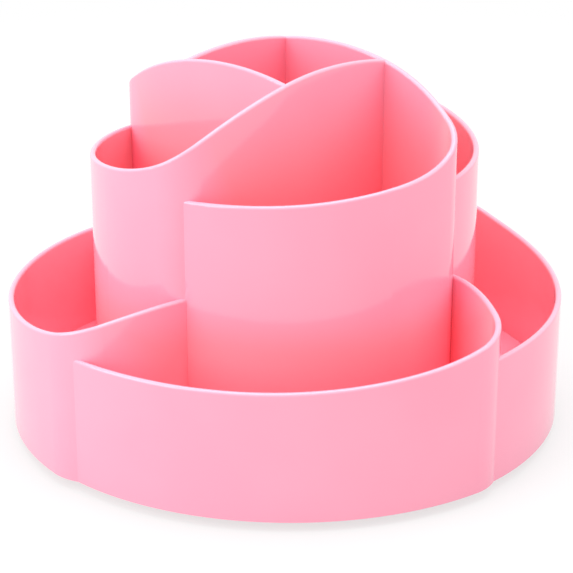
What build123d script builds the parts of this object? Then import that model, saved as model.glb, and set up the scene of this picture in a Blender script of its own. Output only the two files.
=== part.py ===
from build123d import *
import math
import os

# Rotating pen holder: pen cups and a tray, both a pinwheel of curved walls, on a ball-bearing base.
# Millimetres and degrees. +Z is up, the origin is on the desk under the axis, the front faces -Y.

# Walls and floors of both mouldings
PETALS = 4
WALL = 1.8
RIM_ROUND = 0.8
FLOOR = 2.0
CUP_FIT = 0.02

# Pen cups, plan of one wall along its centre line
CELL_SIDE = 41.3
CUP_SWEEP_RADIUS = 97.0
CUP_SWEEP_TURN = 17.5
CUP_TIP_RADIUS = 11.5
CUP_TIP_TURN = 58.0
CUP_SHOULDER_RADIUS = 42.0
CUP_SHOULDER_TURN = 32.0
CUP_LANDING = 22.0

# Pen cups, rim height above the lower edge of the tray, from the wall's start to its end
CUP_RIM_CORNER = 109.0
CUP_RIM_CROWN = 111.0
CUP_RIM_TIP_START = 97.5
CUP_RIM_TIP_END = 91.0
CUP_RIM_SHOULDER = 85.5
CUP_RIM_OUTER = 82.5
CUP_RIM_END = 81.0

# Tray, plan of one wall along its centre line
TRAY_LEAVING = -51.0
TRAY_SWEEP_RADIUS = 58.0
TRAY_SWEEP_TURN = 25.5
TRAY_TIP_RADIUS = 14.5
TRAY_TIP_TURN = 66.0
TRAY_LANDING = 32.0

# Tray, rim height above its lower edge, from the wall's start to its end
TRAY_RIM_START = 52.0
TRAY_RIM_TIP_START = 48.5
TRAY_RIM_TIP_END = 44.0
TRAY_RIM_EARLY = 40.5
TRAY_RIM_MIDDLE = 38.5
TRAY_RIM_END = 38.0
TRAY_EARLY_SHARE = 0.2

# Tray, its lower edge over the desk, its floor over that edge and the well for the turntable
EDGE_CLEARANCE = 3.0
TRAY_FLOOR_RISE = 5.3
WELL_FIT = 0.25

# Base plate and its feet
BASE_MARGIN = 4.0
BASE_THICKNESS = 3.0
BASE_EDGE_ROUND = 0.8
FEET = 6
FOOT_RADIUS = 5.0
FOOT_INSET = 2.0
FOOT_PROUD = 1.5
FOOT_SUNK = 1.2
FOOT_FIT = 0.15

# Ball bearing
BALLS = 12
BALL_RADIUS = 2.25
BALL_PLAY = 0.1
RACE_CIRCLE = 34.0
RACE_WIDTH = 9.0
RACE_THICKNESS = 1.5
RACE_FLOOR = 0.7
RACE_SUNK = 1.2
RACE_FIT = 0.1
CAGE_SIDE = 1.6
CAGE_GAP = 0.5
POCKET_PLAY = 0.15

# Turntable and pivot
TURNTABLE_MARGIN = 9.5
TURNTABLE_THICKNESS = 3.0
SPINDLE_RADIUS = 6.0
SPINDLE_PLAY = 0.05
BUSH_WALL = 2.0
BUSH_FIT = 0.02
HUB_WALL = 4.5
HUB_GAP = 0.4
WASHER_OVERLAP = 2.0
WASHER_ROOM = 1.5
THRUST_THICKNESS = 0.8
RETAINER_THICKNESS = 1.0
END_PLAY = 0.1
PIVOT_RADIUS = 2.0
PIVOT_OVERHANG = 2.0
PIVOT_HEAD_HEIGHT = 1.6
PIVOT_COVER = 0.7

# Screws that clamp the turntable, the tray and the cups together
CLAMP_SCREWS = 4
CLAMP_INSET = 4.4
CLAMP_RADIUS = 1.5
CLAMP_OVERHANG = 1.3
CLAMP_HEAD_HEIGHT = 1.6
CLAMP_COVER = 1.0
CLAMP_BOSS_WALL = 2.5
CLAMP_BOSS_HEIGHT = 4.0

# What all screws share
HEAD_RECESS = 0.2
SCREW_CLEARANCE = 0.2
THREAD_FIT = 0.03
HOLE_SPARE = 0.2
DRIVE_WIDTH = 0.8
DRIVE_DEPTH = 0.9

# How finely a rim is guided, and how far its cutting surface reaches past the wall's sides and ends
RIM_POINTS = 48
RIM_REACH = 1.0
RIM_RUNOUT = 3.0

# Angles, circles and limits that follow from the sizes above
PETAL_ANGLE = 360 / PETALS
LARGEST_RIM_ROUND = 0.45 * WALL
CORNER_CIRCLE = CELL_SIDE / (2 * math.sin(math.radians(PETAL_ANGLE / 2)))
RACE_INNER = RACE_CIRCLE - RACE_WIDTH / 2
RACE_OUTER = RACE_CIRCLE + RACE_WIDTH / 2
GROOVE_RADIUS = BALL_RADIUS + BALL_PLAY
POCKET_RADIUS = BALL_RADIUS + POCKET_PLAY
TURNTABLE_RADIUS = RACE_OUTER + TURNTABLE_MARGIN
WELL_RADIUS = TURNTABLE_RADIUS + WELL_FIT
BASE_RADIUS = TURNTABLE_RADIUS + BASE_MARGIN
FOOT_CIRCLE = BASE_RADIUS - FOOT_INSET - FOOT_RADIUS
BUSH_BORE = SPINDLE_RADIUS + SPINDLE_PLAY
BUSH_RADIUS = BUSH_BORE + BUSH_WALL
WASHER_BORE = PIVOT_RADIUS + SCREW_CLEARANCE
WASHER_RADIUS = BUSH_RADIUS + WASHER_OVERLAP
HUB_RADIUS = WASHER_RADIUS + WASHER_ROOM + HUB_WALL
PIVOT_HEAD_RADIUS = PIVOT_RADIUS + PIVOT_OVERHANG
CLAMP_HEAD_RADIUS = CLAMP_RADIUS + CLAMP_OVERHANG
CLAMP_SEAT_RADIUS = CLAMP_HEAD_RADIUS + SCREW_CLEARANCE
CLAMP_BOSS_RADIUS = CLAMP_RADIUS + CLAMP_BOSS_WALL
CLAMP_CIRCLE = RACE_INNER - RACE_FIT - CLAMP_INSET - CLAMP_SEAT_RADIUS

# Levels that follow from the sizes above, from the desk up
BASE_BOTTOM = FOOT_PROUD
BASE_TOP = BASE_BOTTOM + BASE_THICKNESS
LOWER_RACE_BACK = BASE_TOP - RACE_SUNK
CAGE_BOTTOM = LOWER_RACE_BACK + RACE_THICKNESS + CAGE_GAP
BALL_LEVEL = LOWER_RACE_BACK + RACE_FLOOR + GROOVE_RADIUS
CAGE_TOP = 2 * BALL_LEVEL - CAGE_BOTTOM
UPPER_RACE_BACK = 2 * BALL_LEVEL - LOWER_RACE_BACK
TURNTABLE_BOTTOM = 2 * BALL_LEVEL - BASE_TOP
TURNTABLE_TOP = TURNTABLE_BOTTOM + TURNTABLE_THICKNESS
WELL_TOP = TURNTABLE_TOP + FLOOR
TRAY_FLOOR_TOP = EDGE_CLEARANCE + TRAY_FLOOR_RISE
TRAY_FLOOR_BOTTOM = TRAY_FLOOR_TOP - FLOOR
CUP_FLOOR_BOTTOM = WELL_TOP + CLAMP_BOSS_HEIGHT
CUP_FLOOR_TOP = CUP_FLOOR_BOTTOM + FLOOR
PIVOT_SEAT = BASE_BOTTOM + HEAD_RECESS + PIVOT_HEAD_HEIGHT
RETAINER_TOP = PIVOT_SEAT + RETAINER_THICKNESS
THRUST_TOP = RETAINER_TOP + THRUST_THICKNESS
HUB_UNDERSIDE = THRUST_TOP + END_PLAY
HUB_TOP = TURNTABLE_BOTTOM - HUB_GAP
PIVOT_HOLE_TOP = TURNTABLE_TOP - PIVOT_COVER
CLAMP_SEAT = TURNTABLE_BOTTOM + HEAD_RECESS + CLAMP_HEAD_HEIGHT
CLAMP_HOLE_TOP = CUP_FLOOR_TOP - CLAMP_COVER


def disc(radius, low, high):
    """An upright cylinder on the axis between two levels."""
    return Pos(0, 0, low) * extrude(Circle(radius), amount=high - low)


def ring(inner, outer, low, high):
    """An upright ring on the axis between two levels."""
    return disc(outer, low, high) - disc(inner, low, high)


def around(shape, count, circle):
    """Copies of a shape, set round the axis on a circle."""
    return [place * shape for place in PolarLocations(circle, count)]


def turned(shape, petals):
    """A shape or point carried clockwise, seen from above, by a number of petals."""
    return shape.rotate(Axis.Z, -PETAL_ANGLE * petals)


def onward(before, radius, turn):
    """An arc that goes on smoothly from an edge and bends to the right."""
    return JernArc(before @ 1, before % 1, radius, -turn)


def left_of(direction):
    """The level direction to the left of another."""
    return Vector(-direction.Y, direction.X, 0)


def shifted(edges, distance):
    """Plan edges moved sideways to the left, with lines kept as lines and arcs as arcs."""
    moved = []
    for edge in edges:
        start = edge @ 0 + left_of(edge % 0) * distance
        end = edge @ 1 + left_of(edge % 1) * distance
        if edge.geom_type == GeomType.LINE:
            moved.append(Line(start, end))
        else:
            turn = math.degrees(edge.length / edge.radius)
            moved.append(JernArc(start, edge % 0, edge.radius + distance, -turn))
    return moved


def cup_plan():
    """Centre line of one cup wall: along the middle cell, out, round the tip and to the next tip."""
    corner = Vector(0, CORNER_CIRCLE, 0)
    lead = Line(corner, turned(corner, 1))
    sweep_out = onward(lead, CUP_SWEEP_RADIUS, CUP_SWEEP_TURN)
    tip = onward(sweep_out, CUP_TIP_RADIUS, CUP_TIP_TURN)
    shoulder = onward(tip, CUP_SHOULDER_RADIUS, CUP_SHOULDER_TURN)
    landing = tip @ (CUP_LANDING / CUP_TIP_TURN)
    outer = TangentArc(shoulder @ 1, turned(landing, 1), tangent=shoulder % 1)
    return lead, sweep_out, tip, shoulder, outer


def tray_plan(start):
    """Centre line of one tray wall: from where cup walls meet, round the tip and to the next tip."""
    heading = Vector(1, 0, 0).rotate(Axis.Z, TRAY_LEAVING)
    sweep_out = JernArc(start, heading, TRAY_SWEEP_RADIUS, -TRAY_SWEEP_TURN)
    tip = onward(sweep_out, TRAY_TIP_RADIUS, TRAY_TIP_TURN)
    landing = tip @ (TRAY_LANDING / TRAY_TIP_TURN)
    outer = TangentArc(tip @ 1, turned(landing, 1), tangent=tip % 1)
    return sweep_out, tip, outer


def outline(edges, tip, landing_share):
    """The outer outline of all petals, from the part of each wall past where its neighbour lands."""
    seen = [tip.trim(landing_share, 1)] + list(edges)
    return make_face([turned(edge, petal) for petal in range(PETALS) for edge in seen])


def room_inside(plan, low, high):
    """The room between the outer walls of a moulding, from one level to another."""
    return Pos(0, 0, low) * extrude(offset(plan, -WALL / 2, kind=Kind.INTERSECTION), amount=high - low)


def rim_guide(path, profile, side):
    """A rim's line in space, to the left of the wall's centre line and run out past both its ends."""

    def at(distance, height):
        inside = min(max(distance, 0), path.length)
        point = path.position_at(inside, position_mode=PositionMode.LENGTH)
        heading = path.tangent_at(inside, position_mode=PositionMode.LENGTH)
        return point + heading * (distance - inside) + left_of(heading) * side + Vector(0, 0, height)

    unrolled = [profile @ (step / RIM_POINTS) for step in range(RIM_POINTS + 1)]
    first_slope = (profile % 0).Y / (profile % 0).X
    last_slope = (profile % 1).Y / (profile % 1).X
    points = [at(-RIM_RUNOUT, unrolled[0].Y - RIM_RUNOUT * first_slope)]
    points += [at(place.X, place.Y) for place in unrolled]
    points.append(at(path.length + RIM_RUNOUT, unrolled[-1].Y + RIM_RUNOUT * last_slope))
    return Spline(*points)


def wall(edges, stations, heights, bottom):
    """An upright wall on a centre line, with a rounded rim that rises and falls along it."""
    path = Wire(edges)
    profile = Spline(*zip(stations, heights))
    reach = WALL / 2 + RIM_REACH
    rim_sides = [rim_guide(path, profile, side) for side in (reach, -reach)]
    above = extrude(Face.make_surface_from_curves(*rim_sides), amount=max(heights), dir=(0, 0, 1))
    left = shifted(edges, WALL / 2)
    right = shifted(edges, -WALL / 2)
    ends = [Line(left[0] @ 0, right[0] @ 0), Line(left[-1] @ 1, right[-1] @ 1)]
    full_height = max(heights) + RIM_RUNOUT - bottom
    solid = Pos(0, 0, bottom) * extrude(make_face(left + right + ends), amount=full_height) - above
    rim = solid.faces().sort_by(Axis.Z)[-1]
    long_edges = rim.edges().sort_by(SortBy.LENGTH)[len(ends):]
    return fillet(long_edges, min(RIM_ROUND, LARGEST_RIM_ROUND))


def pan_screw(radius, head_radius, head_height, seat, top):
    """An upright screw with its head down: the head ends at the seat, and the shank at the top."""
    bottom = seat - head_height
    head = fillet(disc(head_radius, bottom, seat).edges().group_by(Axis.Z)[0], head_height / 2)
    slot = Pos(0, 0, bottom) * Box(head_radius, DRIVE_WIDTH, 2 * DRIVE_DEPTH)
    return head + disc(radius, seat, top) - slot - slot.rotate(Axis.Z, 90)


def race(back, facing):
    """A pressed ring with a groove for the balls that faces up, for 1, or down, for -1."""
    low, high = sorted((back, back + facing * RACE_THICKNESS))
    groove = Pos(0, 0, BALL_LEVEL) * Torus(RACE_CIRCLE, GROOVE_RADIUS)
    return ring(RACE_INNER, RACE_OUTER, low, high) - groove


cup_edges = cup_plan()
cup_lead, cup_sweep, cup_tip, cup_shoulder, cup_outer = cup_edges
cup_share = CUP_LANDING / CUP_TIP_TURN
cup_outline = outline((cup_shoulder, cup_outer), cup_tip, cup_share)
tray_edges = tray_plan(cup_tip @ cup_share)
tray_sweep, tray_tip, tray_outer = tray_edges
tray_outline = outline((tray_outer,), tray_tip, TRAY_LANDING / TRAY_TIP_TURN)


def pen_cups():
    """The tall moulding: curved walls round a raised floor, and under it the clamp screws' bosses."""
    tip_start = cup_lead.length + cup_sweep.length
    tip_end = tip_start + cup_tip.length
    shoulder_end = tip_end + cup_shoulder.length
    end = shoulder_end + cup_outer.length
    stations = [0, cup_lead.length / 2, cup_lead.length, tip_start, tip_end, shoulder_end]
    stations += [(shoulder_end + end) / 2, end]
    rim = [CUP_RIM_CORNER, CUP_RIM_CROWN, CUP_RIM_CORNER, CUP_RIM_TIP_START, CUP_RIM_TIP_END]
    rim += [CUP_RIM_SHOULDER, CUP_RIM_OUTER, CUP_RIM_END]
    heights = [EDGE_CLEARANCE + height for height in rim]
    under_room = room_inside(cup_outline, TRAY_FLOOR_TOP, WELL_TOP)
    one = wall(cup_edges, stations, heights, TRAY_FLOOR_TOP) - under_room
    floor = Pos(0, 0, CUP_FLOOR_BOTTOM) * extrude(cup_outline, amount=FLOOR)
    bosses = around(disc(CLAMP_BOSS_RADIUS, WELL_TOP, CUP_FLOOR_TOP), CLAMP_SCREWS, CLAMP_CIRCLE)
    pilot = disc(CLAMP_RADIUS + THREAD_FIT, WELL_TOP, CLAMP_HOLE_TOP)
    body = floor.fuse(*[turned(one, petal) for petal in range(PETALS)], *bosses)
    return body - around(pilot, CLAMP_SCREWS, CLAMP_CIRCLE)


def tray():
    """The low moulding: curved walls round the cups, its floor and the well over the turntable."""
    tip_start = tray_sweep.length
    tip_end = tip_start + tray_tip.length
    end = tip_end + tray_outer.length
    stations = [0, tip_start, tip_end, tip_end + TRAY_EARLY_SHARE * tray_outer.length]
    stations += [(tip_end + end) / 2, end]
    rim = [TRAY_RIM_START, TRAY_RIM_TIP_START, TRAY_RIM_TIP_END]
    rim += [TRAY_RIM_EARLY, TRAY_RIM_MIDDLE, TRAY_RIM_END]
    heights = [EDGE_CLEARANCE + height for height in rim]
    cup_outside = offset(cup_outline, WALL / 2 + CUP_FIT)
    cup_room = Pos(0, 0, TRAY_FLOOR_TOP) * extrude(cup_outside, amount=max(heights))
    under_room = room_inside(tray_outline, EDGE_CLEARANCE, TRAY_FLOOR_BOTTOM)
    one = wall(tray_edges, stations, heights, EDGE_CLEARANCE) - cup_room - under_room
    floor = Pos(0, 0, TRAY_FLOOR_BOTTOM) * extrude(tray_outline, amount=FLOOR)
    well = disc(WELL_RADIUS + WALL, TRAY_FLOOR_BOTTOM, WELL_TOP)
    body = floor.fuse(*[turned(one, petal) for petal in range(PETALS)], well)
    body -= disc(WELL_RADIUS, TRAY_FLOOR_BOTTOM, TURNTABLE_TOP)
    hole = disc(CLAMP_RADIUS + SCREW_CLEARANCE, TURNTABLE_TOP, WELL_TOP)
    return body - around(hole, CLAMP_SCREWS, CLAMP_CIRCLE)


def turntable():
    """The turning plate under the tray, with the spindle and the upper ring's seat."""
    body = disc(TURNTABLE_RADIUS, TURNTABLE_BOTTOM, TURNTABLE_TOP)
    body += disc(SPINDLE_RADIUS, RETAINER_TOP, TURNTABLE_BOTTOM)
    body -= ring(RACE_INNER - RACE_FIT, RACE_OUTER + RACE_FIT, TURNTABLE_BOTTOM, UPPER_RACE_BACK)
    body -= disc(PIVOT_RADIUS + THREAD_FIT, RETAINER_TOP, PIVOT_HOLE_TOP)
    hole = disc(CLAMP_RADIUS + SCREW_CLEARANCE, CLAMP_SEAT, TURNTABLE_TOP)
    hole += disc(CLAMP_SEAT_RADIUS, TURNTABLE_BOTTOM, CLAMP_SEAT)
    return body - around(hole, CLAMP_SCREWS, CLAMP_CIRCLE)


def base_plate():
    """The fixed plate: the hub with the bush's bore, the lower ring's seat and the feet's pockets."""
    plate = disc(BASE_RADIUS, BASE_BOTTOM, BASE_TOP)
    plate = fillet(plate.edges().group_by(Axis.Z)[-1], BASE_EDGE_ROUND)
    body = plate + disc(HUB_RADIUS, BASE_BOTTOM, HUB_TOP)
    body -= disc(WASHER_RADIUS + WASHER_ROOM, BASE_BOTTOM, HUB_UNDERSIDE)
    body -= disc(BUSH_RADIUS + BUSH_FIT, HUB_UNDERSIDE, HUB_TOP)
    body -= ring(RACE_INNER - RACE_FIT, RACE_OUTER + RACE_FIT, LOWER_RACE_BACK, BASE_TOP)
    pocket = disc(FOOT_RADIUS + FOOT_FIT, BASE_BOTTOM, BASE_BOTTOM + FOOT_SUNK)
    return body - around(pocket, FEET, FOOT_CIRCLE)


def ball_cage():
    """The ring that keeps the balls apart."""
    half_width = POCKET_RADIUS + CAGE_SIDE
    body = ring(RACE_CIRCLE - half_width, RACE_CIRCLE + half_width, CAGE_BOTTOM, CAGE_TOP)
    return body - around(disc(POCKET_RADIUS, CAGE_BOTTOM, CAGE_TOP), BALLS, RACE_CIRCLE)


def pivot_screw():
    """The screw up into the spindle, which holds the turning pieces on the base."""
    top = PIVOT_HOLE_TOP - HOLE_SPARE
    return pan_screw(PIVOT_RADIUS, PIVOT_HEAD_RADIUS, PIVOT_HEAD_HEIGHT, PIVOT_SEAT, top)


def clamp_screws():
    """The screws that hold the turntable, the tray and the cups together."""
    top = CLAMP_HOLE_TOP - HOLE_SPARE
    one = pan_screw(CLAMP_RADIUS, CLAMP_HEAD_RADIUS, CLAMP_HEAD_HEIGHT, CLAMP_SEAT, top)
    return Compound(children=around(one, CLAMP_SCREWS, CLAMP_CIRCLE))


nodes = {
    "pen_cups": pen_cups(),
    "tray": tray(),
    "turntable": turntable(),
    "clamp_screws": clamp_screws(),
    "upper_race": race(UPPER_RACE_BACK, -1),
    "lower_race": race(LOWER_RACE_BACK, 1),
    "ball_cage": ball_cage(),
    "base_plate": base_plate(),
    "pivot_bush": ring(BUSH_BORE, BUSH_RADIUS, HUB_UNDERSIDE, HUB_TOP),
    "thrust_washer": ring(BUSH_BORE, WASHER_RADIUS, RETAINER_TOP, THRUST_TOP),
    "retaining_washer": ring(WASHER_BORE, WASHER_RADIUS, PIVOT_SEAT, RETAINER_TOP),
    "pivot_screw": pivot_screw(),
}
one_ball = Pos(0, 0, BALL_LEVEL) * Sphere(BALL_RADIUS)
for number, ball in enumerate(around(one_ball, BALLS, RACE_CIRCLE), 1):
    nodes[f"ball_{number:02d}"] = ball
one_foot = disc(FOOT_RADIUS, 0, FOOT_PROUD + FOOT_SUNK)
for number, foot in enumerate(around(one_foot, FEET, FOOT_CIRCLE), 1):
    nodes[f"foot_{number}"] = foot

os.makedirs("parts", exist_ok=True)
for name, shape in nodes.items():
    export_step(shape, f"parts/{name}.step")
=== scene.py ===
import math

import bmesh
import bpy
from bpy.props import FloatProperty, FloatVectorProperty, IntProperty, PointerProperty
from bpy.types import Operator, Panel, PropertyGroup
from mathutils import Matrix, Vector


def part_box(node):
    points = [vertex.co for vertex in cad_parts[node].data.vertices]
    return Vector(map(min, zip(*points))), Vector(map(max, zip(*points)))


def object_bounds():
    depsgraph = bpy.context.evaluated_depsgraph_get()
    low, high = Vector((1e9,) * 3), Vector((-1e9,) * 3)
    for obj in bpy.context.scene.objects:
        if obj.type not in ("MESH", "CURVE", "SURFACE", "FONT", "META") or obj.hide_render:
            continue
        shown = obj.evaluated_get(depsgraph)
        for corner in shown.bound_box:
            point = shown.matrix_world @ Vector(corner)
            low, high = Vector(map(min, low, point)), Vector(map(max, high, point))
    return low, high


bl_info = {
    "name": "Rotating Pen Holder Looks",
    "version": (1, 0, 0),
    "blender": (4, 5, 0),
    "location": "3D View > Sidebar > Pen Holder",
    "description": "Finishes for a turning pen holder, and a studio to show it in",
    "category": "Object",
}

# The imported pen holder, and its box before anything is added
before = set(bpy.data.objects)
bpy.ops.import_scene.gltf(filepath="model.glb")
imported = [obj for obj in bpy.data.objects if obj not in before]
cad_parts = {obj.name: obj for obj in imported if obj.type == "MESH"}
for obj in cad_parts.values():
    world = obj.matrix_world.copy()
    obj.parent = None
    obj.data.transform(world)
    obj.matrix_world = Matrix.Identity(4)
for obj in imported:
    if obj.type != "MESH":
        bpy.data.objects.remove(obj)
CAD_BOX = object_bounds()

# Which pieces share a finish
BALLS = sorted(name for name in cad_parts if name.startswith("ball_") and name[-1].isdigit())
FEET = sorted(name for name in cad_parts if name.startswith("foot_"))
BASE_MOULDINGS = ["base_plate", "turntable"]
SLIDING_PIECES = ["ball_cage", "pivot_bush", "thrust_washer"]
RACES = ["lower_race", "upper_race"]
PLATED_PIECES = ["clamp_screws", "pivot_screw", "retaining_washer"]

# What faces up gets the painted rim highlight above this share of a moulding's height, and the painted floor
# light below it
RIM_SHARE = 0.3
# The middle of a moulding reaches to this share of its radius
MIDDLE_SHARE = 0.93
# Shares of a moulding's height between which its painted shade, a more saturated pink, fades out
DEEP_SHARES = (0.68, 0.98)
# Shares of the height of the tray's top between which the painted shade on the cups behind its walls fades
# out
SHADE_SHARES = (0.72, 1.0)

# How strongly the plastics and the rubber bend light
GLOSS_IOR = 1.58
MATTE_IOR = 1.48
RUBBER_IOR = 1.5
# What a film of grease leaves of red, green and blue
GREASE_TINT = (0.95, 0.92, 0.86)

# White as a colour, and the strength at which it shows as plain white
WHITE = (1.0, 1.0, 1.0, 1.0)
PLAIN = 1.0
# The floor seen starts to turn white at this share of the shadow's reach
SHADOW_CORE = 1 / 3

# A bearing straight to the front, and an elevation straight overhead
FRONT = 0.0
OVERHEAD = math.radians(90)

# Multiplied with a place, this drops its height
LEVEL = (1, 1, 0)
# How hairline scratches are drawn out along X and Y
HAIR_STRETCH = (0.04, 0.05, 1.0)

# The colour mixing node's sockets, which share their names with its other kinds
MIX_MASK = 0
MIX_FIRST = 6
MIX_SECOND = 7
MIX_RESULT = 2


def colour_property(label, text, default):
    """A colour in linear light."""
    return FloatVectorProperty(name=label, description=text, default=default, subtype="COLOR", min=0, max=1)


def length_property(label, text, default):
    """A length in metres."""
    return FloatProperty(name=label, description=text, default=default, unit="LENGTH", min=0, precision=5)


def power_property(label, text, default):
    """A lamp's power in watts."""
    return FloatProperty(name=label, description=text, default=default, unit="POWER", min=0)


def angle_property(label, text, degrees):
    """An angle, given in degrees."""
    return FloatProperty(name=label, description=text, default=math.radians(degrees), subtype="ANGLE")


def share_property(label, text, default):
    """A share from none to all."""
    return FloatProperty(name=label, description=text, default=default, subtype="FACTOR", min=0, max=1)


def count_property(label, text, default, least):
    """A whole number."""
    return IntProperty(name=label, description=text, default=default, min=least)


class PlasticSettings(PropertyGroup):
    """The glossy pink plastic of the cups and the tray."""

    colour: colour_property("Pink", "Colour of the walls from outside", (1.0, 0.355, 0.485))
    pale: colour_property("Pale pink", "Colour where the moulding flowed thin", (1.0, 0.375, 0.505))
    # Painted shade: a more saturated pink low down between the walls, where less light reaches
    deep_painted_shade: colour_property("Deep pink", "Warmer colour low down between the walls", (1.0, 0.325, 0.395))
    # Painted light: a paler pink on the inner side of the outer walls, for light bounced between the walls
    inward_painted_light: colour_property("Inner side", "Colour of the outer walls from inside", (1.0, 0.475, 0.54))
    # Painted highlight: a paler pink on the thin rounded rims
    rim_highlight: colour_property("Rim", "Paler colour of the thin rounded rims", (1.0, 0.47, 0.605))
    # Painted light: a paler pink on the floors, as lit from above
    floor: colour_property("Floors", "Paler colour of the floors", (1.0, 0.5, 0.65))
    roughness: share_property("Roughness", "How dull the gloss is", 0.05)
    smudge_roughness: share_property("Smudges", "Roughness that handling adds", 0.05)
    scratch_weight: share_property("Scratches", "How much a scratch dulls beside a smudge", 0.3)
    cloud_size: length_property("Flow clouds", "Size of the slow changes of colour", 0.035)
    peel_size: length_property("Orange peel", "Size of the ripples in the gloss", 0.0022)
    peel_depth: length_property("Ripple depth", "Depth of the ripples in the gloss", 0.000006)
    mark_size: length_property("Marks", "Size of the smudges", 0.012)


class HardwareSettings(PropertyGroup):
    """The base, the bearing, the screws and the feet."""

    base: colour_property("Base", "Matte plastic of the base plate and the turntable", (0.87, 0.33, 0.44))
    natural: colour_property("Natural plastic", "Sliding pieces of undyed plastic", (0.8, 0.79, 0.74))
    race: colour_property("Bearing rings", "Pressed bright steel", (0.56, 0.56, 0.58))
    ball: colour_property("Balls", "Polished steel", (0.68, 0.68, 0.7))
    plated: colour_property("Screws", "Zinc plating", (0.6, 0.61, 0.62))
    rubber: colour_property("Feet", "Dark rubber", (0.028, 0.028, 0.03))
    grain_size: length_property("Grain", "Size of the matte plastic's grain", 0.0004)
    grain_depth: length_property("Grain depth", "Depth of the matte plastic's grain", 0.00002)
    matte_cloud_size: length_property("Matte clouds", "Size of the matte plastic's clouds", 0.02)
    dust_size: length_property("Dust", "Size of the patches of dust", 0.004)
    dust_weight: share_property("Dust weight", "How much the dust covers", 0.35)
    ring_pitch: length_property("Turning marks", "Distance between the rings on turned steel", 0.00025)
    ring_depth: length_property("Ring depth", "Depth of the rings on turned steel", 0.000004)
    ring_roughness: share_property("Ring dullness", "Roughness that the rings add", 0.2)
    race_roughness: share_property("Bearing ring roughness", "How dull the bearing rings are", 0.2)
    plated_roughness: share_property("Plating roughness", "How dull the plating is", 0.3)
    tarnish_size: length_property("Tarnish", "Size of the patches of tarnish", 0.006)
    film_size: length_property("Grease", "Size of the patches of grease on the balls", 0.002)
    film_roughness: share_property("Grease dullness", "Roughness that the grease adds", 0.12)
    ball_roughness: share_property("Ball roughness", "How dull the balls are", 0.06)
    scratch_depth: length_property("Ball scratches", "Depth of the scratches on the balls", 0.000002)
    rubber_cloud_size: length_property("Rubber clouds", "Size of the patches of dust on rubber", 0.003)
    pit_size: length_property("Pits", "Size of the pits in the rubber", 0.0006)
    pit_depth: length_property("Pit depth", "Depth of the pits in the rubber", 0.00004)


class StudioSettings(PropertyGroup):
    """The camera, the lamps and the floor."""

    elevation: angle_property("Elevation", "Height of the view over the horizon", 20.944)
    distance: length_property("Distance", "From the camera to the point that it looks at", 0.58723)
    look_height: length_property("Look height", "Height of the point that the camera looks at", 0.04008)
    look_side: length_property("Look side", "How far right the camera looks of the axis", 0.00029)
    lens: FloatProperty(name="Lens", description="Focal length", default=119.43, unit="CAMERA", min=1)
    ambient: FloatProperty(name="Ambient", description="Strength of the even light", default=0.9, min=0)
    key: power_property("Key", "Power of the softbox on the left", 13.0)
    key_bearing: angle_property("Key bearing", "Turn of the left softbox from the front", -62.0)
    fill: power_property("Fill", "Power of the softbox on the right", 3.4)
    fill_bearing: angle_property("Fill bearing", "Turn of the right softbox from the front", 75.0)
    top: power_property("Top", "Power of the softbox overhead", 11.0)
    lamp_elevation: angle_property("Lamp elevation", "Height of the side softboxes over the horizon", 25.0)
    lamp_distance: length_property("Lamp distance", "From a softbox to the point that it lights", 1.6)
    softbox: length_property("Softbox", "Side of a softbox", 1.2)
    bounces: count_property("Bounces", "How often light goes on between walls", 48, least=1)
    floor_size: length_property("Floor", "Radius of the floor", 8.0)
    floor_sides: count_property("Floor sides", "Corners of the round floor", 96, least=3)
    floor_colour: colour_property("Floor colour", "Pale floor, as it lights the object", (0.62, 0.62, 0.62))
    floor_seen: colour_property("Floor seen", "Pale floor, as the camera sees it", (0.8, 0.8, 0.8))
    floor_glow: share_property("Floor glow", "Share of white in the floor seen by the object", 0.7)
    shadow_reach: length_property("Shadow reach", "How far off the floor seen is plain white", 0.6)


def place(tree, kind, inputs=None, **settings):
    """Adds a node with its settings, and with its inputs linked from sockets or set to values."""
    made = tree.nodes.new(kind)
    for name, value in settings.items():
        setattr(made, name, value)
    for key, value in (inputs or {}).items():
        if isinstance(value, bpy.types.NodeSocket):
            tree.links.new(value, made.inputs[key])
        else:
            made.inputs[key].default_value = value
    return made


def calculate(tree, operation, *numbers):
    """The result of one operation on its numbers."""
    return place(tree, "ShaderNodeMath", dict(enumerate(numbers)), operation=operation).outputs[0]


def ramp(tree, value, low, high):
    """A smooth mask that is 0 up to the low value and 1 from the high one."""
    inputs = {"Value": value, "From Min": low, "From Max": high}
    return place(tree, "ShaderNodeMapRange", inputs, interpolation_type="SMOOTHSTEP").outputs["Result"]


def tint(tree, mask, first, second):
    """A colour that goes from the first to the second with a mask."""
    inputs = {MIX_MASK: mask, MIX_FIRST: first, MIX_SECOND: second}
    return place(tree, "ShaderNodeMix", inputs, data_type="RGBA").outputs[MIX_RESULT]


def opaque(colour):
    """A colour with its alpha."""
    return (*colour, 1.0)


def shaded(colour, share=1.0, lift=0.0):
    """A share of a colour, with a little white added."""
    return [share * part + lift for part in colour]


def noise(tree, coordinates, size, detail, roughness=0.5):
    """Noise with features of a size in metres, which may be a socket."""
    frequency = calculate(tree, "DIVIDE", 1.0, size)
    inputs = {"Vector": coordinates, "Scale": frequency, "Detail": detail, "Roughness": roughness}
    return place(tree, "ShaderNodeTexNoise", inputs).outputs["Fac"]


def surface_place(tree):
    """Where a point lies on its piece."""
    return place(tree, "ShaderNodeTexCoord").outputs["Object"]


def upward_part(tree, vector):
    """The part of a vector along +Z."""
    return place(tree, "ShaderNodeSeparateXYZ", {0: vector}).outputs["Z"]


def flat_place(tree, coordinates):
    """A place without its height."""
    inputs = {0: coordinates, 1: LEVEL}
    return place(tree, "ShaderNodeVectorMath", inputs, operation="MULTIPLY").outputs["Vector"]


def vector_length(tree, vector):
    """How long a vector is."""
    return place(tree, "ShaderNodeVectorMath", {0: vector}, operation="LENGTH").outputs["Value"]


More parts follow.
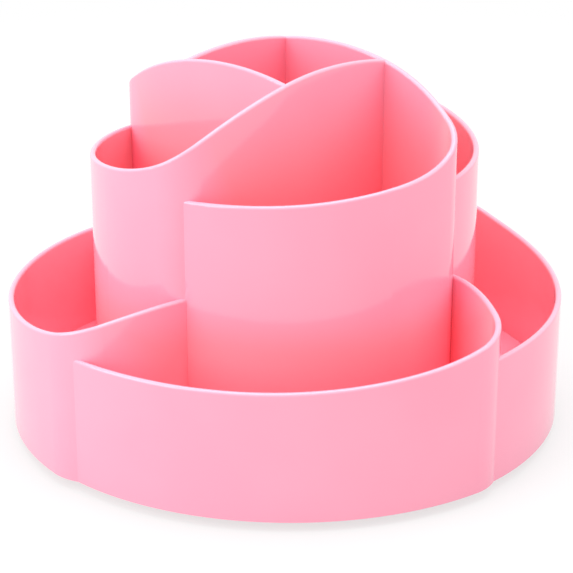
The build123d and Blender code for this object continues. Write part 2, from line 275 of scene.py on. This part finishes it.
def effect_group(name, inputs, outputs):
    """A new group of shader nodes with numbers in and out: its tree, its inputs and its outputs."""
    tree = bpy.data.node_groups.new(name, "ShaderNodeTree")
    for label, default in inputs.items():
        socket = tree.interface.new_socket(label, in_out="INPUT", socket_type="NodeSocketFloat")
        socket.default_value = default
    for label in outputs:
        tree.interface.new_socket(label, in_out="OUTPUT", socket_type="NodeSocketFloat")
    entry = tree.nodes.new("NodeGroupInput")
    leave = tree.nodes.new("NodeGroupOutput")
    return tree, entry.outputs, leave.inputs


def flow_clouds_group():
    """Slow changes where the plastic flowed into its mould."""
    tree, entry, leave = effect_group("Flow Clouds", {"Size": 0.03}, ["Cloud"])
    cloud = noise(tree, surface_place(tree), entry["Size"], detail=2.0, roughness=0.45)
    tree.links.new(ramp(tree, cloud, low=0.3, high=0.7), leave["Cloud"])
    return tree


def ripple_group():
    """The coarse and fine ripples of a moulded or etched surface, as a height."""
    fine_size = 0.3
    fine_weight = 0.25
    tree, entry, leave = effect_group("Ripples", {"Size": 0.002}, ["Height"])
    coordinates = surface_place(tree)
    coarse = noise(tree, coordinates, entry["Size"], detail=1.0)
    fine = noise(tree, coordinates, calculate(tree, "MULTIPLY", entry["Size"], fine_size), detail=1.0)
    height = calculate(tree, "ADD", coarse, calculate(tree, "MULTIPLY", fine, fine_weight))
    tree.links.new(height, leave["Height"])
    return tree


def handling_group():
    """Smudges from fingers, and level hairline scratches in patches."""
    hair_size = 0.0006
    patch_size = 2.0
    tree, entry, leave = effect_group("Handling", {"Size": 0.012}, ["Smudge", "Scratch"])
    coordinates = surface_place(tree)
    cloudy = noise(tree, coordinates, entry["Size"], detail=4.0, roughness=0.6)
    tree.links.new(ramp(tree, cloudy, low=0.45, high=0.75), leave["Smudge"])
    stretched = place(tree, "ShaderNodeMapping", {"Vector": coordinates, "Scale": HAIR_STRETCH})
    hairs = noise(tree, stretched.outputs["Vector"], hair_size, detail=2.0)
    patches = noise(tree, coordinates, calculate(tree, "MULTIPLY", entry["Size"], patch_size), detail=1.0)
    marked = ramp(tree, hairs, low=0.66, high=0.74)
    kept = calculate(tree, "MULTIPLY", marked, ramp(tree, patches, low=0.5, high=0.65))
    tree.links.new(kept, leave["Scratch"])
    return tree


def painted_top_light_group():
    """Masks for what faces up: a painted highlight on the rounded rims above a level, and painted light on
    the floors below it.
    """
    tree, entry, leave = effect_group("Painted Top Light", {"Level": 0.03}, ["Rim", "Floor"])
    where = place(tree, "ShaderNodeTexCoord").outputs
    facing = upward_part(tree, where["Normal"])
    above = calculate(tree, "GREATER_THAN", upward_part(tree, where["Object"]), entry["Level"])
    below = calculate(tree, "SUBTRACT", 1.0, above)
    rim_highlight = calculate(tree, "MULTIPLY", ramp(tree, facing, low=0.1, high=0.8), above)
    floor = calculate(tree, "MULTIPLY", ramp(tree, facing, low=0.9, high=1.0), below)
    tree.links.new(rim_highlight, leave["Rim"])
    tree.links.new(floor, leave["Floor"])
    return tree


def painted_bounce_and_shade_group():
    """Painted light on the inner side of the outer walls, and painted shade on what lies low in the middle
    or low behind other walls.
    """
    inputs = {"Radius": 0.05, "Deep Level": 0.03, "Fade Level": 0.05}
    # Left at these depths, nothing gets painted shade for lying behind other walls
    inputs.update({"Shade Level": -2.0, "Open Level": -1.0})
    tree, entry, leave = effect_group("Painted Bounce And Shade", inputs, ["Inward", "Deep"])
    where = place(tree, "ShaderNodeTexCoord").outputs
    flat = flat_place(tree, where["Object"])
    outward = place(tree, "ShaderNodeVectorMath", {0: flat}, operation="NORMALIZE").outputs["Vector"]
    pair = {0: outward, 1: where["Normal"]}
    facing = place(tree, "ShaderNodeVectorMath", pair, operation="DOT_PRODUCT").outputs["Value"]
    share = calculate(tree, "DIVIDE", vector_length(tree, flat), entry["Radius"])
    outer = ramp(tree, share, low=0.78, high=1.0)
    inward_painted_light = ramp(tree, calculate(tree, "MULTIPLY", facing, -1.0), low=0.0, high=0.3)
    tree.links.new(calculate(tree, "MULTIPLY", inward_painted_light, outer), leave["Inward"])
    height = upward_part(tree, where["Object"])
    high = ramp(tree, height, entry["Deep Level"], entry["Fade Level"])
    clear = ramp(tree, height, entry["Shade Level"], entry["Open Level"])
    shallow = calculate(tree, "MINIMUM", calculate(tree, "MAXIMUM", outer, high), clear)
    tree.links.new(calculate(tree, "SUBTRACT", 1.0, shallow), leave["Deep"])
    return tree


def settled_dust_group():
    """A little dust on what faces up."""
    tree, entry, leave = effect_group("Settled Dust", {"Size": 0.004}, ["Dust"])
    where = place(tree, "ShaderNodeTexCoord").outputs
    flat = ramp(tree, upward_part(tree, where["Normal"]), low=0.7, high=0.98)
    patches = noise(tree, where["Object"], entry["Size"], detail=6.0, roughness=0.7)
    dust = calculate(tree, "MULTIPLY", flat, ramp(tree, patches, low=0.4, high=0.8))
    tree.links.new(dust, leave["Dust"])
    return tree


def turned_rings_group():
    """The fine rings that turning or pressing leaves round the axis, as a height from 0 to 1."""
    tree, entry, leave = effect_group("Turned Rings", {"Pitch": 0.0003}, ["Height"])
    radius = vector_length(tree, flat_place(tree, surface_place(tree)))
    turns = calculate(tree, "DIVIDE", radius, entry["Pitch"])
    inputs = {"W": turns, "Detail": 3.0, "Scale": 1.0}
    rings = place(tree, "ShaderNodeTexNoise", inputs, noise_dimensions="1D")
    tree.links.new(rings.outputs["Fac"], leave["Height"])
    return tree


GROUPS = {
    "Flow Clouds": flow_clouds_group,
    "Ripples": ripple_group,
    "Handling": handling_group,
    "Painted Top Light": painted_top_light_group,
    "Painted Bounce And Shade": painted_bounce_and_shade_group,
    "Settled Dust": settled_dust_group,
    "Turned Rings": turned_rings_group,
}


def effect(tree, name, **values):
    """One of the shared effects, placed with its own values."""
    made = tree.nodes.new("ShaderNodeGroup")
    made.node_tree = bpy.data.node_groups.get(name) or GROUPS[name]()
    for key, value in values.items():
        made.inputs[key].default_value = value
    return made.outputs


def new_finish(name, **values):
    """A new material, its tree and its shader's sockets, with the values that are the same all over."""
    material = bpy.data.materials.new(name)
    material.use_nodes = True
    shader = material.node_tree.nodes["Principled BSDF"]
    for key, value in values.items():
        shader.inputs[key].default_value = value
    return material, material.node_tree, shader.inputs


def raise_surface(tree, sockets, height, depth):
    """Lets a height of 1 stand out from the surface by a depth in metres."""
    bump = place(tree, "ShaderNodeBump", {"Height": height, "Strength": 1.0, "Distance": depth})
    tree.links.new(bump.outputs["Normal"], sockets["Normal"])


def level_at(node, share):
    """The height at a share of the way up a moulding."""
    low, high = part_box(node)
    return low.z + share * (high.z - low.z)


def middle_radius(node):
    """The radius that the middle of a moulding reaches to."""
    low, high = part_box(node)
    return MIDDLE_SHARE * (high.x - low.x) / 2


def gloss_plastic(name, node, settings, shade):
    """Glossy moulded plastic with pale pink as painted highlight on the rims and painted light on the floors
    and inner sides, more saturated pink as painted shade low down, clouds, ripples and smudges.
    """
    material, tree, sockets = new_finish(name, IOR=GLOSS_IOR)
    cloud = effect(tree, "Flow Clouds", Size=settings.cloud_size)["Cloud"]
    handling = effect(tree, "Handling", Size=settings.mark_size)
    upward = effect(tree, "Painted Top Light", Level=level_at(node, RIM_SHARE))
    levels = {"Deep Level": level_at(node, DEEP_SHARES[0]), "Fade Level": level_at(node, DEEP_SHARES[1])}
    inside = effect(tree, "Painted Bounce And Shade", Radius=middle_radius(node), **levels, **shade)
    walls = tint(tree, cloud, opaque(settings.colour), opaque(settings.pale))
    # Painted light on the inner side of the outer walls
    walls = tint(tree, inside["Inward"], walls, opaque(settings.inward_painted_light))
    # Painted shade low in the middle and low behind other walls
    walls = tint(tree, inside["Deep"], walls, opaque(settings.deep_painted_shade))
    # Painted light on the floors, and a painted highlight on the rims
    walls = tint(tree, upward["Floor"], walls, opaque(settings.floor))
    tree.links.new(tint(tree, upward["Rim"], walls, opaque(settings.rim_highlight)), sockets["Base Color"])
    marks = calculate(tree, "MULTIPLY_ADD", handling["Scratch"], settings.scratch_weight, handling["Smudge"])
    dull = calculate(tree, "MULTIPLY", marks, settings.smudge_roughness)
    tree.links.new(calculate(tree, "ADD", dull, settings.roughness), sockets["Roughness"])
    ripples = effect(tree, "Ripples", Size=settings.peel_size)["Height"]
    raise_surface(tree, sockets, ripples, settings.peel_depth)
    return material


def matte_plastic(name, colour, settings):
    """Matte plastic with an etched grain, and dust where it faces up."""
    material, tree, sockets = new_finish(name, IOR=MATTE_IOR)
    cloud = effect(tree, "Flow Clouds", Size=settings.matte_cloud_size)["Cloud"]
    dust = effect(tree, "Settled Dust", Size=settings.dust_size)["Dust"]
    base = tint(tree, cloud, opaque(shaded(colour, share=0.9)), opaque(colour))
    covered = calculate(tree, "MULTIPLY", dust, settings.dust_weight)
    dusty = opaque(shaded(colour, share=0.85, lift=0.12))
    tree.links.new(tint(tree, covered, base, dusty), sockets["Base Color"])
    # Runs from about 0.24 to 0.62 over the clouds
    tree.links.new(ramp(tree, cloud, low=-1.2, high=2.6), sockets["Roughness"])
    grain = effect(tree, "Ripples", Size=settings.grain_size)["Height"]
    raise_surface(tree, sockets, grain, settings.grain_depth)
    return material


def turned_steel(name, colour, roughness, settings):
    """Bright steel with the rings of its turning, and a slight tarnish."""
    material, tree, sockets = new_finish(name, Metallic=1.0)
    rings = effect(tree, "Turned Rings", Pitch=settings.ring_pitch)["Height"]
    tarnish = effect(tree, "Handling", Size=settings.tarnish_size)["Smudge"]
    dark = opaque(shaded(colour, share=0.8))
    tree.links.new(tint(tree, tarnish, opaque(colour), dark), sockets["Base Color"])
    spread = calculate(tree, "MULTIPLY", rings, settings.ring_roughness)
    tree.links.new(calculate(tree, "ADD", spread, roughness), sockets["Roughness"])
    raise_surface(tree, sockets, rings, settings.ring_depth)
    return material


def polished_steel(name, colour, settings):
    """Mirror steel with a film of grease in patches."""
    material, tree, sockets = new_finish(name, Metallic=1.0)
    film = effect(tree, "Handling", Size=settings.film_size)
    warm = opaque(left * part for left, part in zip(GREASE_TINT, colour))
    tree.links.new(tint(tree, film["Smudge"], opaque(colour), warm), sockets["Base Color"])
    blur = calculate(tree, "MULTIPLY", film["Smudge"], settings.film_roughness)
    tree.links.new(calculate(tree, "ADD", blur, settings.ball_roughness), sockets["Roughness"])
    raise_surface(tree, sockets, film["Scratch"], settings.scratch_depth)
    return material


def foot_rubber(name, colour, settings):
    """Dark rubber with a pitted skin, grey with dust."""
    material, tree, sockets = new_finish(name, IOR=RUBBER_IOR)
    cloud = effect(tree, "Flow Clouds", Size=settings.rubber_cloud_size)["Cloud"]
    grey = opaque(shaded(colour, lift=0.03))
    tree.links.new(tint(tree, cloud, opaque(colour), grey), sockets["Base Color"])
    # Runs from about 0.57 to 0.87 over the clouds
    tree.links.new(ramp(tree, cloud, low=-2.4, high=2.0), sockets["Roughness"])
    pits = effect(tree, "Ripples", Size=settings.pit_size)["Height"]
    raise_surface(tree, sockets, pits, settings.pit_depth)
    return material


def wear(nodes, material):
    """Gives pieces their finish."""
    for name in nodes:
        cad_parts[name].material_slots[0].material = material


class PENHOLDER_OT_cups(Operator):
    """Gives the pen cups their glossy pink plastic"""

    bl_idname = "penholder.cups"
    bl_label = "Finish Cups"

    def execute(self, context):
        settings = context.scene.penholder_plastic
        # The cups get painted shade low down behind the tray's walls
        tray_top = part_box("tray")[1].z
        shade = {"Shade Level": SHADE_SHARES[0] * tray_top, "Open Level": SHADE_SHARES[1] * tray_top}
        wear(["pen_cups"], gloss_plastic("cup_plastic", "pen_cups", settings, shade))
        return {"FINISHED"}


class PENHOLDER_OT_tray(Operator):
    """Gives the tray its glossy pink plastic"""

    bl_idname = "penholder.tray"
    bl_label = "Finish Tray"

    def execute(self, context):
        settings = context.scene.penholder_plastic
        no_shade = {}
        wear(["tray"], gloss_plastic("tray_plastic", "tray", settings, no_shade))
        return {"FINISHED"}


class PENHOLDER_OT_base(Operator):
    """Gives the base plate and the turntable their matte plastic"""

    bl_idname = "penholder.base"
    bl_label = "Finish Base"

    def execute(self, context):
        settings = context.scene.penholder_hardware
        wear(BASE_MOULDINGS, matte_plastic("base_plastic", settings.base, settings))
        return {"FINISHED"}


class PENHOLDER_OT_bearing(Operator):
    """Gives the bearing rings, the balls, the cage and the sliding pieces their finishes"""

    bl_idname = "penholder.bearing"
    bl_label = "Finish Bearing"

    def execute(self, context):
        settings = context.scene.penholder_hardware
        wear(RACES, turned_steel("race_steel", settings.race, settings.race_roughness, settings))
        wear(BALLS, polished_steel("ball_steel", settings.ball, settings))
        wear(SLIDING_PIECES, matte_plastic("natural_plastic", settings.natural, settings))
        return {"FINISHED"}


class PENHOLDER_OT_screws(Operator):
    """Gives the screws and the steel washer their plating"""

    bl_idname = "penholder.screws"
    bl_label = "Finish Screws"

    def execute(self, context):
        settings = context.scene.penholder_hardware
        plating = turned_steel("plated_steel", settings.plated, settings.plated_roughness, settings)
        wear(PLATED_PIECES, plating)
        return {"FINISHED"}


class PENHOLDER_OT_feet(Operator):
    """Gives the feet their rubber"""

    bl_idname = "penholder.feet"
    bl_label = "Finish Feet"

    def execute(self, context):
        settings = context.scene.penholder_hardware
        wear(FEET, foot_rubber("foot_rubber", settings.rubber, settings))
        return {"FINISHED"}


def aim(thing, location, target):
    """Puts a lamp or a camera in its place and points it at its target."""
    thing.location = location
    thing.rotation_mode = "QUATERNION"
    thing.rotation_quaternion = (Vector(target) - Vector(location)).to_track_quat("-Z", "Y")


def stand(name, data):
    """Puts new data into the scene as an object."""
    thing = bpy.data.objects.new(name, data)
    bpy.context.scene.collection.objects.link(thing)
    return thing


def direction(bearing, elevation):
    """The way to something from its bearing, to the right of the front, and its height over the horizon."""
    level = math.cos(elevation)
    return Vector((level * math.sin(bearing), -level * math.cos(bearing), math.sin(elevation)))


def softbox(name, power, settings, bearing, elevation, target):
    """A square soft lamp."""
    lamp = bpy.data.lights.new(name, "AREA")
    lamp.energy = power
    lamp.size = settings.softbox
    location = target + direction(bearing, elevation) * settings.lamp_distance
    aim(stand(name, lamp), location, target)


def seen_straight(tree):
    """A mask for what the camera, a reflection or glass shows."""
    path = place(tree, "ShaderNodeLightPath").outputs
    mirrored = calculate(tree, "MAXIMUM", path["Is Glossy Ray"], path["Is Transmission Ray"])
    return calculate(tree, "MAXIMUM", path["Is Camera Ray"], mirrored)


def even_light(settings):
    """Even light from all round, which itself shows as plain white."""
    world = bpy.data.worlds.new("studio")
    world.use_nodes = True
    tree = world.node_tree
    tree.nodes.clear()
    lighting = place(tree, "ShaderNodeBackground", {"Color": WHITE, "Strength": settings.ambient})
    white = place(tree, "ShaderNodeBackground", {"Color": WHITE, "Strength": PLAIN})
    shaders = {0: seen_straight(tree), 1: lighting.outputs[0], 2: white.outputs[0]}
    mixed = place(tree, "ShaderNodeMixShader", shaders)
    place(tree, "ShaderNodeOutputWorld", {"Surface": mixed.outputs[0]})
    bpy.context.scene.world = world


def floor_finish(settings):
    """Pale paper that keeps a soft shadow, with a share of plain white that grows away from the object."""
    material = bpy.data.materials.new("pale_paper")
    material.use_nodes = True
    tree = material.node_tree
    tree.nodes.clear()
    seen = seen_straight(tree)
    colour = tint(tree, seen, opaque(settings.floor_colour), opaque(settings.floor_seen))
    paper = place(tree, "ShaderNodeBsdfDiffuse", {"Color": colour})
    white = place(tree, "ShaderNodeEmission", {"Color": WHITE, "Strength": PLAIN})
    away = vector_length(tree, surface_place(tree))
    far = ramp(tree, away, low=SHADOW_CORE * settings.shadow_reach, high=settings.shadow_reach)
    glow = calculate(tree, "MAXIMUM", far, settings.floor_glow)
    share = calculate(tree, "MULTIPLY", seen, glow)
    mixed = place(tree, "ShaderNodeMixShader", {0: share, 1: paper.outputs[0], 2: white.outputs[0]})
    place(tree, "ShaderNodeOutputMaterial", {"Surface": mixed.outputs[0]})
    return material


def lay_floor(settings):
    """A wide round floor under the feet."""
    mesh = bpy.data.meshes.new("floor")
    shape = bmesh.new()
    bmesh.ops.create_circle(shape, cap_ends=True, radius=settings.floor_size, segments=settings.floor_sides)
    shape.to_mesh(mesh)
    shape.free()
    mesh.materials.append(floor_finish(settings))
    floor = stand("floor", mesh)
    floor.location.z = CAD_BOX[0].z


def set_camera(settings, target):
    """The camera at the front, raised by its elevation."""
    camera = bpy.data.cameras.new("camera")
    camera.lens = settings.lens
    viewer = stand("camera", camera)
    aim(viewer, target + direction(FRONT, settings.elevation) * settings.distance, target)
    bpy.context.scene.camera = viewer


class PENHOLDER_OT_stage(Operator):
    """Sets up the floor, the soft light and the camera"""

    bl_idname = "penholder.stage"
    bl_label = "Set Stage"

    def execute(self, context):
        scene = context.scene
        settings = scene.penholder_studio
        target = Vector((settings.look_side, 0, settings.look_height))
        lay_floor(settings)
        even_light(settings)
        softbox("key", settings.key, settings, settings.key_bearing, settings.lamp_elevation, target)
        softbox("fill", settings.fill, settings, settings.fill_bearing, settings.lamp_elevation, target)
        softbox("top", settings.top, settings, FRONT, OVERHEAD, target)
        set_camera(settings, target)
        scene.cycles.diffuse_bounces = settings.bounces
        scene.cycles.max_bounces = settings.bounces
        scene.view_settings.view_transform = "Standard"
        return {"FINISHED"}


class PENHOLDER_PT_looks(Panel):
    """The pen holder's finishes and its studio"""

    bl_label = "Pen Holder"
    bl_space_type = "VIEW_3D"
    bl_region_type = "UI"
    bl_category = "Pen Holder"

    def draw(self, context):
        layout = self.layout
        for operator in OPERATORS:
            layout.operator(operator.bl_idname)
        for settings in SETTINGS:
            group = getattr(context.scene, settings)
            for name in group.__annotations__:
                layout.prop(group, name)


OPERATORS = [
    PENHOLDER_OT_cups,
    PENHOLDER_OT_tray,
    PENHOLDER_OT_base,
    PENHOLDER_OT_bearing,
    PENHOLDER_OT_screws,
    PENHOLDER_OT_feet,
    PENHOLDER_OT_stage,
]
SETTINGS = {
    "penholder_plastic": PlasticSettings,
    "penholder_hardware": HardwareSettings,
    "penholder_studio": StudioSettings,
}
CLASSES = [*SETTINGS.values(), *OPERATORS, PENHOLDER_PT_looks]


def register():
    """Makes the settings, the operators and the panel known."""
    for each in CLASSES:
        bpy.utils.register_class(each)
    for name, group in SETTINGS.items():
        setattr(bpy.types.Scene, name, PointerProperty(type=group))


def unregister():
    """Takes them away again."""
    for name in SETTINGS:
        delattr(bpy.types.Scene, name)
    for each in reversed(CLASSES):
        bpy.utils.unregister_class(each)


def main():
    """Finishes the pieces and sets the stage."""
    register()
    bpy.ops.penholder.cups()
    bpy.ops.penholder.tray()
    bpy.ops.penholder.base()
    bpy.ops.penholder.bearing()
    bpy.ops.penholder.screws()
    bpy.ops.penholder.feet()
    bpy.ops.penholder.stage()


if __name__ == "__main__":
    main()
